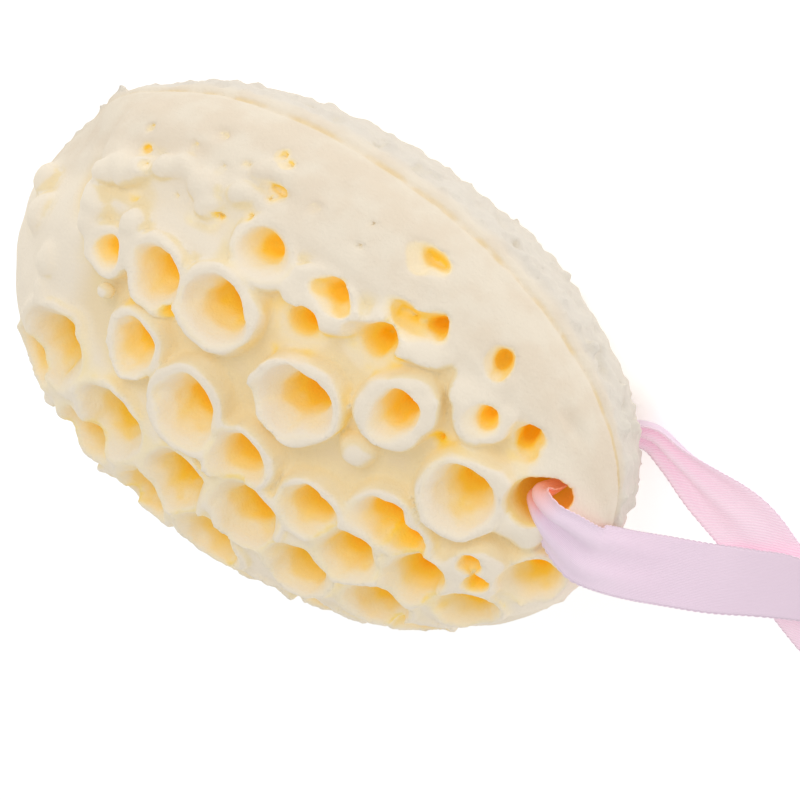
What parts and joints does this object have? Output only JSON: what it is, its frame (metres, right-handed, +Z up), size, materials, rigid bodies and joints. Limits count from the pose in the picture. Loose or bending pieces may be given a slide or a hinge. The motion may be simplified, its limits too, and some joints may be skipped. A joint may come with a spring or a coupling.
{
  "type": "moulded bath sponge",
  "caption": "Egg-shaped moulded foam bath sponge with open honeycomb cells on its dome, a flat back and a satin ribbon loop for hanging.",
  "frame": {"origin": "middle of the flat back that the sponge rests on", "axes": "+Z up from the back to the honeycomb dome, +X along the sponge to the tip with the ribbon"},
  "size_m": [0.2132, 0.09, 0.0558],
  "materials": {
    "foam": "soft moulded foam, cream skin with amber depths",
    "satin": "pale pink satin"
  },
  "bodies": {
    "root": {"sponge": "foam", "ribbon": "satin"}
  },
  "joints": []
}
